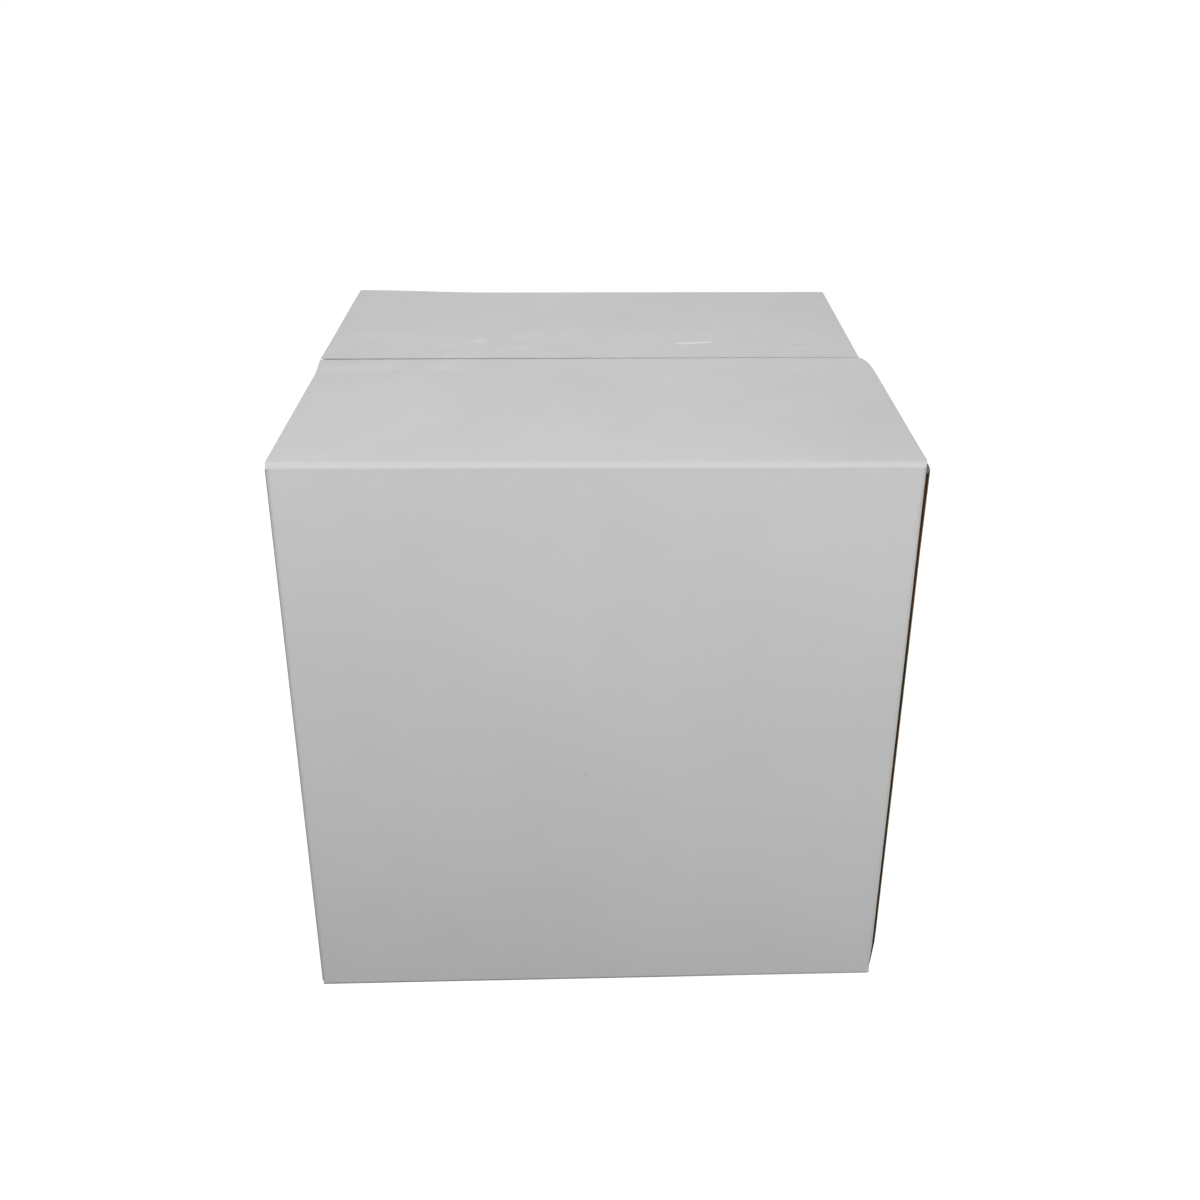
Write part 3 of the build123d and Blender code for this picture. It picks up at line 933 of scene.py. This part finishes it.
def fold_strip(name, crease, wall_out, flap_out, corner, seed):
    """Makes the fold that a CAD crease stands for. corner is a point on the fold's inner line."""
    low, high = (np.array(point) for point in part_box(crease))
    along = np.cross(wall_out, flap_out)
    axis = int(np.argmax(np.abs(along)))
    at_raw_edge, at_base = wall_out[0] > 0, flap_out[2] < 0
    if at_raw_edge:
        low[axis] = RAW_EDGE
    ends = (low[axis] + END_GAP, high[axis] - END_GAP)
    places = np.linspace(*(ends if along[axis] > 0 else ends[::-1]), STRIP_ROWS + 1)
    waves = np.random.default_rng(seed).uniform(0, 2 * math.pi, DRIFT_WAVES)
    turns = 2 * math.pi * DRIFT_TURNS * np.linspace(0, 1, STRIP_ROWS + 1)
    drift = sum(np.cos((k + 1) * turns + waves[k]) / (k + 1.5) for k in range(DRIFT_WAVES))
    arch = np.sin(np.linspace(0, math.pi, STRIP_STEPS + 1))
    swell = 1 - UNEVEN_FOLD / BOARD * (FOLD_PRESS + FOLD_DRIFT * drift)[:, None] * arch[None, :]
    if name == "top_right_fold":
        loose = ease((RAW_EDGE + RAW_END_REACH - places) / RAW_END_REACH)
        angles = np.linspace(0, 90, STRIP_STEPS + 1)
        swell += loose[:, None] * (np.interp(angles, RAW_END_ANGLES, RAW_END_SWELL) - 1)
    outer, inner = fold_profile()
    flats = (swell[..., None] * outer[None], np.ones(swell.shape)[..., None] * inner[None])
    grids = [fold_points(name, flat, places, corner, wall_out, flap_out, axis) for flat in flats]
    # Painted shade on a lower fold, darker the further it turns under towards the floor.
    soil = BASE_SHADE * ease(-SHADE_RISE * outer[:, 1] * flap_out[2] / BOARD)
    soil = soil * np.clip(1 + SHADE_DRIFT * drift[:, None], 0, 1)
    # The base's front fold gets less painted shade to the right.
    if wall_out[1] < 0:
        soil *= 1 - LIGHTER_RIGHT * ease((places[:, None] - LIGHTER_FROM) / LIGHTER_REACH)
    rows = np.ones((STRIP_ROWS + 1, 1))
    # The raw end of the right folds gets the painted-shade material.
    rim = painted_shade_end if at_raw_edge else white_sheet if at_base else cut_edge
    # The lid's folds get a painted highlight along the middle of their arc.
    return sheet_mesh(
        name, *grids, (white_sheet, kraft_sheet, rim), soil=soil,
        across=np.tile(places[:, None], (1, STRIP_STEPS + 1)),
        worn=rows * FOLD_WORN * arch * at_base, stretched=rows * arch * (not at_base),
    )


folds = []
for seed, (side, way) in enumerate(SIDES.items()):
    wall_out = np.array(way, float)
    for end, flap_out in WAYS_UP.items():
        crease = f"{end}_{side}_flap_crease"
        low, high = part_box(crease)
        corner = wall_out * SCORE + np.array([0, 0, low.z if end == "top" else high.z])
        mesh = fold_strip(f"{end}_{side}_fold", crease, wall_out, flap_out, corner, seed)
        moving = end == "top"
        piece = new_piece(mesh.name, mesh, None if moving else "carton", [crease])
        if moving:
            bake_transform(piece)
        folds.append(piece)
print("folds:", ", ".join(piece.name for piece in folds))

# %% [markdown]
# ## Clear tape
# The lid was closed with wide clear tape, which has been slit along the seam. Stuck film is nearly invisible, but it
# turns whitish where air is trapped below it. Along one long wrinkle it is lifted and catches the light, and its
# crest is also made whitish, as a painted highlight. So the film is real geometry: a thin slab that follows the flap,
# lifted in a few bubbles and that wrinkle, with grid lines crowded where they are needed. Attributes remember how
# cloudy, how hazy and how dusty the film is at each point, and the material turns them into alpha and colour. A glass
# shader would be heavier and noisier for so thin a film, and its shadow would darken the lid, so shadow rays pass
# through.

# %% Material: clear tape
FILM = (0.80, 0.80, 0.79, 1.0)
FILM_CLOUD_AND_HIGHLIGHT = (0.93, 0.93, 0.93, 1.0)
FILM_DUST = (0.20, 0.20, 0.19, 1.0)
FILM_CLEAR, HAZE_CLOUD, AIR_CLOUD_AND_HIGHLIGHT, DUST_CLOUD = 0.015, 0.05, 0.34, 0.5  # shares of the light that film stops
STREAKS = (60.0, 900.0, 900.0)  # noise cells in a metre, long in X
HAZE_PATCHES = 32.0
DUST_DARK = 4.0
FILM_SHINE = (0.10, 0.24)  # roughness
FILM_RELIEF, FILM_BUMP = 0.01 * MM, 0.4


def make_clear_tape():
    material, tree, shader, place = start_material("clear_tape")
    lifted, dust = attribute(tree, "lifted"), attribute(tree, "dust")
    streaks = put(tree, "ShaderNodeMapping", {"Vector": place, "Scale": STREAKS}).outputs["Vector"]
    haze = noise(tree, streaks, 1.0, 3.0, 0.6)
    patches = rescale(tree, noise(tree, place, HAZE_PATCHES), 0.42, 0.64)
    cloud = calc(tree, "MULTIPLY", patches, attribute(tree, "hazy"))
    cloud = calc(tree, "MULTIPLY", cloud, rescale(tree, haze, 0.3, 0.7, 0.6, 1.0))
    # The lifted attribute holds the cloudiness over bubbles and a painted highlight along the wrinkle's crest.
    colour = mix_colour(tree, calc(tree, "MAXIMUM", lifted, cloud), FILM, FILM_CLOUD_AND_HIGHLIGHT)
    colour = mix_colour(tree, calc(tree, "MULTIPLY", dust, DUST_DARK), colour, FILM_DUST)
    stopped = calc(tree, "MULTIPLY_ADD", cloud, HAZE_CLOUD, FILM_CLEAR)
    stopped = calc(tree, "MULTIPLY_ADD", lifted, AIR_CLOUD_AND_HIGHLIGHT, stopped)
    stopped = calc(tree, "MULTIPLY_ADD", dust, DUST_CLOUD, stopped)
    lit = calc(tree, "SUBTRACT", 1.0, put(tree, "ShaderNodeLightPath").outputs["Is Shadow Ray"])
    shine = rescale(tree, haze, 0.2, 0.8, *FILM_SHINE)
    alpha = calc(tree, "MULTIPLY", stopped, lit)
    feed(tree, shader.inputs, {"Base Color": colour, "Roughness": shine, "Alpha": alpha})
    bump(tree, shader, haze, FILM_RELIEF, FILM_BUMP)
    return material


clear_tape = make_clear_tape()
print("material:", clear_tape.name)

# %% Air, wrinkle and dust under the film
BUBBLES = (  # middle x and y, half sizes in x and y and lift, in millimetres, and cloudiness
    (-64.5, 39.8, 5.0, 6.5, 0.10, 0.42), (-40.3, 58.5, 3.4, 3.4, 0.06, 0.36), (-34.3, 60.5, 3.0, 2.6, 0.05, 0.22),
    (-40.6, 47.9, 3.2, 3.2, 0.06, 0.32), (-38.4, 25.6, 4.4, 3.4, 0.08, 0.44), (-85.7, 25.8, 5.0, 2.4, 0.05, 0.20),
    (-126.3, -5.3, 3.0, 2.0, 0.05, 0.15), (63.1, -7.7, 4.5, 1.6, 0.04, 0.12),
)
DUST = (  # middle x and y and half sizes of specks that the tape has caught, and how dark they are
    (122.3, 30.9, 4.0, 1.7, 0.16), (115.0, 32.9, 3.5, 1.6, 0.07), (110.2, 28.9, 3.5, 1.6, 0.06),
    # The last entry is a broader dark patch between the bubbles.
    (-38.2, 39.1, 3.5, 4.5, 0.05),
)
WRINKLE = ((48.9, 34.1), (76.1, 37.1), 0.30, 2.8, 1.0)  # two ends, height, and reach of its front and rear slope
WRINKLE_STARTS, WRINKLE_ENDS = 8, 3  # how steeply it rises at its first end and falls at its last
WRINKLE_ROOM = (3, 2)  # millimetres before and behind it that get the finer grid
PATCH_RIM = 1.25  # where a patch fades out, in half sizes


def patch(x, y, middle_x, middle_y, half_x, half_y):
    """One in the middle of an oval and nothing outside it."""
    return ease(PATCH_RIM - np.hypot((x - middle_x) / half_x, (y - middle_y) / half_y))


def trapped_air(x, y):
    """Lift of the film over a place on the lid, its cloudiness there with a painted highlight along the wrinkle's
    crest, and the dust below it.
    """
    x, y = x / MM, y / MM
    lift, cloud, dust = np.zeros((3,) + np.shape(x))
    for *place, height, clouded in BUBBLES:
        share = patch(x, y, *place)
        lift, cloud = np.maximum(lift, height * share), np.maximum(cloud, clouded * share)
    for *place, dark in DUST:
        dust = np.maximum(dust, dark * patch(x, y, *place))
    (x0, y0), (x1, y1), height, front, rear = WRINKLE
    length = math.hypot(x1 - x0, y1 - y0)
    share = ((x - x0) * (x1 - x0) + (y - y0) * (y1 - y0)) / length**2
    off = ((y - y0) * (x1 - x0) - (x - x0) * (y1 - y0)) / length
    crest = np.maximum(1 - np.abs(off) / np.where(off < 0, front, rear), 0)
    crest = crest * ease(share * WRINKLE_STARTS) * ease((1 - share) * WRINKLE_ENDS)
    # The wrinkle's crest goes into the cloudiness too, as a painted highlight.
    return np.maximum(lift, height * crest) * MM, np.maximum(cloud, crest), dust


print("bubbles:", len(BUBBLES), "and one wrinkle, %.2f mm high" % WRINKLE[2])

# %% Film on the lid
FILM_THICK = 0.05 * MM
STUCK = 0.012 * MM  # from the liner to the under side of stuck film
COARSE_X, FINE_X, COARSE_Y, FINE_Y = 4 * MM, 1.0 * MM, 3 * MM, 0.55 * MM  # between grid lines
BUSY = 1.3  # half sizes of a bubble that get the finer grid
SHORTEST = 0.4  # a last step shorter than this share of a full one is left out
HAZE_LEAST, HAZE_FROM, HAZE_REACH = 0.35, 40 * MM, 120 * MM  # the film is hazier to the left


def crowded(first, last, step, places, fine):
    """Grid lines from first to last, with finer steps near the given places."""
    lines = [first]
    while lines[-1] < last - SHORTEST * step:
        near = any(low - step <= lines[-1] <= high + step for low, high in places)
        lines.append(min(lines[-1] + (fine if near else step), last))
    lines[-1] = last
    return np.array(lines)


def busy_places(axis):
    """Stretches along X (0) or Y (1) where the film is lifted."""
    middles = ((bubble[axis], BUSY * bubble[axis + 2]) for bubble in BUBBLES)
    return [((middle - half) * MM, (middle + half) * MM) for middle, half in middles]


def film_on_flap(name, side, replaced):
    flap, (tape_low, tape_high) = FLAPS[side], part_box(replaced)
    (x0, y0), (x1, y1) = WRINKLE[:2]
    busy_x = busy_places(X) + [(x0 * MM, x1 * MM)]
    busy_y = busy_places(Y) + [((y0 - WRINKLE_ROOM[0]) * MM, (y1 + WRINKLE_ROOM[1]) * MM)]
    xs = with_corner(crowded(flap["left"], flap["right"] - WORN_ACROSS, COARSE_X, busy_x, FINE_X), side)
    ys = crowded(tape_low.y, tape_high.y, COARSE_Y, busy_y, FINE_Y)
    base = flat_grid(xs, ys, HEIGHT)
    air, cloud, dust = trapped_air(base[..., 0], base[..., 1])
    under, over = base.copy(), base.copy()
    under[..., 2] += STUCK + air
    over[..., 2] += STUCK + air + FILM_THICK
    hazy = HAZE_LEAST + (1 - HAZE_LEAST) * ease((HAZE_FROM - base[..., 0]) / HAZE_REACH)
    mesh = sheet_mesh(
        name, settle(over, side), settle(under, side), (clear_tape,) * 3, lifted=cloud, hazy=hazy, dust=dust
    )
    return new_piece(name, mesh, f"{side}_flap", [replaced])


films = [film_on_flap(f"lid_tape_{side}", side, f"top_tape_{side}") for side in FLAPS]
print("film on both lid flaps:", sum(len(film.data.polygons) for film in films), "faces")

# %% [markdown]
# ## Ends of the tape
# The tape goes over the sides of the carton and ends in the zigzag that a dispenser's blade cuts. Each tail is a film
# of its own, pressed on the wall, with two grid columns for each tooth. The top tails hang down from the lid and the
# bottom ones reach up from the base.

# %% Tape tails with a saw-cut end
SAW_TOOTH, SAW_DEEP = 2.5 * MM, 1.6 * MM
TAIL_ROWS = 12
TAIL_HAZE = 0.6


def tail_grid(side_x, low, high, cut_low, depth):
    """Points of one tail, depth away from the wall, with its toothed end below or above."""
    teeth = int((high.y - low.y) / SAW_TOOTH)
    ys = np.linspace(low.y, high.y, 2 * teeth + 1)
    if side_x < 0:
        ys = ys[::-1]
    tooth = SAW_DEEP * (np.arange(len(ys)) % 2)
    share = np.linspace(0, 1, TAIL_ROWS + 1)[:, None]
    bottom = low.z + (tooth if cut_low else 0 * tooth)
    top = high.z - (0 * tooth if cut_low else tooth)
    zs = bottom + (top - bottom) * share
    wall = RIGHT if side_x > 0 else LEFT
    up = np.clip((zs - side_low.z) / (side_high.z - side_low.z), 0, 1)
    first, last = plan[walls == wall][[0, -1], 1]
    bulge = bow(wall, np.clip((ys[None, :] - first) / (last - first), 0, 1), up)
    xs = math.copysign(1, side_x) * (HALF + bulge + depth)
    return np.stack([xs, np.broadcast_to(ys, zs.shape), zs], -1)


def tape_tails(name, replaced, cut_low):
    low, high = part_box(replaced)
    points, faces = [], []
    for side_x in (-1, 1):
        over = tail_grid(side_x, low, high, cut_low, STUCK + FILM_THICK)
        under = tail_grid(side_x, low, high, cut_low, STUCK)
        tail = sheet_mesh(name, over, under, (clear_tape,) * 3)
        first = len(points)
        points += [vertex.co[:] for vertex in tail.vertices]
        faces += [[first + corner for corner in polygon.vertices] for polygon in tail.polygons]
        bpy.data.meshes.remove(tail)
    mesh = new_mesh(name, points, faces, [clear_tape])
    store(mesh, "hazy", np.full(len(points), TAIL_HAZE))
    smooth(mesh)
    return new_piece(name, mesh, "carton", [replaced])


tails = [
    tape_tails(f"{part}_tape_tails", f"{end}_tape_tails", end == "top")
    for part, end in (("lid", "top"), ("base", "bottom"))
]
print("tape tails on both sides:", sum(len(tail.data.polygons) for tail in tails), "faces")

# %% [markdown]
# ## Plies that stay as they are
# Flat plies that nothing bends are shown as the CAD model has them: the brown inside of the walls, the liners of the
# inner and bottom flaps, the glue tab and its glue. They only need their finish. The glue is a thin, cream-coloured
# dried film with small bubbles.

# %% Material: dried glue, and finishes for the CAD plies
GLUE = ((0.60, 0.54, 0.40, 1.0), (0.74, 0.69, 0.55, 1.0))
GLUE_LUMPS = 260.0  # noise cells in a metre
GLUE_RELIEF, GLUE_BUMP = 0.1 * MM, 0.6
GLUE_SHINE = (0.3, 0.5)  # roughness


def make_glue():
    material, tree, shader, place = start_material("dried_glue")
    lumps = noise(tree, place, GLUE_LUMPS, 3.0)
    shine = rescale(tree, lumps, 0.3, 0.7, *GLUE_SHINE)
    feed(tree, shader.inputs, {"Base Color": mix_colour(tree, lumps, *GLUE), "Roughness": shine})
    bump(tree, shader, lumps, GLUE_RELIEF, GLUE_BUMP)
    return material


dried_glue = make_glue()


def finish_for(node):
    sideways = "left" in node or "right" in node
    if node == "joint_glue":
        return dried_glue
    if node == "bottom_tape":
        return clear_tape
    if node.endswith("white_liner"):
        return white_y if sideways else white_x
    return kraft_y if sideways or node == "glue_tab" else kraft_x


shown = [name for name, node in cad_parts.items() if not node.hide_render]
for name in shown:
    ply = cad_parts[name].data
    ply.materials.clear()
    ply.materials.append(finish_for(name))
print("CAD plies with a finish:", len(shown))

# %% [markdown]
# ## Floor and world
# The carton stands on a pale floor in front of white. For the camera, for glossy reflections and for light that comes
# through film, the floor and the world are white. All other rays see a duller floor and a softer sky, so the white
# surroundings don't flood the carton with light. The floor keeps a plain diffuse share, which carries the shadow.

# %% White surroundings
FLOOR = (0.26, 0.26, 0.26, 1.0)
FLOOR_GLOW = 0.94
FLOOR_HALF = 8.0  # metres
AMBIENT = 0.24


def seen_directly(tree):
    path = put(tree, "ShaderNodeLightPath").outputs
    seen = calc(tree, "MAXIMUM", path["Is Camera Ray"], path["Is Glossy Ray"])
    return calc(tree, "MAXIMUM", seen, path["Is Transmission Ray"])


def make_floor():
    material = bpy.data.materials.new("floor")
    tree = empty_tree(material)
    dull = put(tree, "ShaderNodeBsdfDiffuse", {"Color": FLOOR})
    strength = calc(tree, "MULTIPLY", seen_directly(tree), FLOOR_GLOW)
    glow = put(tree, "ShaderNodeEmission", {"Strength": strength})
    both = put(tree, "ShaderNodeAddShader", {0: dull.outputs[0], 1: glow.outputs[0]})
    put(tree, "ShaderNodeOutputMaterial", {"Surface": both.outputs[0]})
    corners = [(x * FLOOR_HALF, y * FLOOR_HALF, 0) for x, y in ((-1, -1), (1, -1), (1, 1), (-1, 1))]
    floor = add_object("floor", new_mesh("floor", corners, [(0, 1, 2, 3)], [material]))


def make_world():
    world = bpy.data.worlds.new("studio")
    bpy.context.scene.world = world
    tree = empty_tree(world)
    strength = rescale(tree, seen_directly(tree), 0.0, 1.0, AMBIENT, 1.0)
    sky = put(tree, "ShaderNodeBackground", {"Color": (1, 1, 1, 1), "Strength": strength})
    put(tree, "ShaderNodeOutputWorld", {"Surface": sky.outputs[0]})


make_floor()
make_world()
bpy.context.scene.view_settings.view_transform = "Standard"
print("floor and world ready")

# %% [markdown]
# ## Lamps
# The photo's light is soft: the lid is even, the front fades towards the floor, and the rounded fold between them is
# the brightest line. One huge lamp would light everything alike. Two lamps high in front do better, close enough to
# fall off down the front wall, and two weaker ones at the sides even out the front's left and right. A lamp behind
# lights the rear of the lid, and two far ones keep the sides and the back readable.

# %% Area lamps
LAMPS = (  # name, place, aim, size and power
    ("high_left", (-0.30, -0.80, 0.92), (0.0, -0.15, 0.28), 0.6, 2.8),
    ("high_right", (0.30, -0.95, 0.75), (0.0, -0.15, 0.20), 0.6, 3.9),
    ("low_left", (-0.55, -0.62, 0.62), (-0.1, -0.155, 0.24), 0.4, 1.2),
    ("low_right", (0.60, -0.65, 0.32), (0.1, -0.155, 0.13), 0.4, 0.9),
    ("rear", (0.0, 0.85, 1.25), (0.0, 0.05, 0.31), 1.0, 6.0),
    ("left_fill", (-1.9, 0.5, 0.9), (0.0, 0.0, 0.15), 1.2, 2.8),
    ("right_fill", (1.9, 0.8, 0.9), (0.0, 0.0, 0.15), 1.2, 2.8),
)


def hang_lamp(name, place, aim, size, power):
    lamp = bpy.data.lights.new(name, "AREA")
    lamp.shape = "DISK"
    lamp.size, lamp.energy = size, power
    holder = add_object(name, lamp)
    holder.location = place
    holder.rotation_euler = (Vector(aim) - Vector(place)).to_track_quat("-Z", "Y").to_euler()


for lamp in LAMPS:
    hang_lamp(*lamp)
print("lamps:", len(LAMPS))

# %% [markdown]
# ## Camera
# The view was found by fitting a camera to the carton's corners and edges in the photo: a little to the left of the
# middle, looking down at about 26 degrees, with a normal lens. The photo is a square crop, and the middle of the crop
# isn't the middle of the lens. A small lens shift allows for that without turning the view.

# %% Camera
TURNS = (("Z", -2.894), ("X", 90 - 26.081), ("Z", 0.851))  # aside, up from straight down, and roll, in degrees
camera_data = bpy.data.cameras.new("camera")
camera_data.sensor_width, camera_data.lens = 36.0, 40.939
camera_data.shift_x, camera_data.shift_y = -0.02876, -0.02592
camera = add_object("camera", camera_data)
camera.location = (-0.01344, -0.74717, 0.54947)
turned = Matrix.Identity(3)
for axis, degrees in TURNS:
    turned = turned @ Matrix.Rotation(math.radians(degrees), 3, axis)
camera.rotation_euler = turned.to_euler()
bpy.context.scene.camera = camera
print("camera at", tuple(round(part, 3) for part in camera.location))
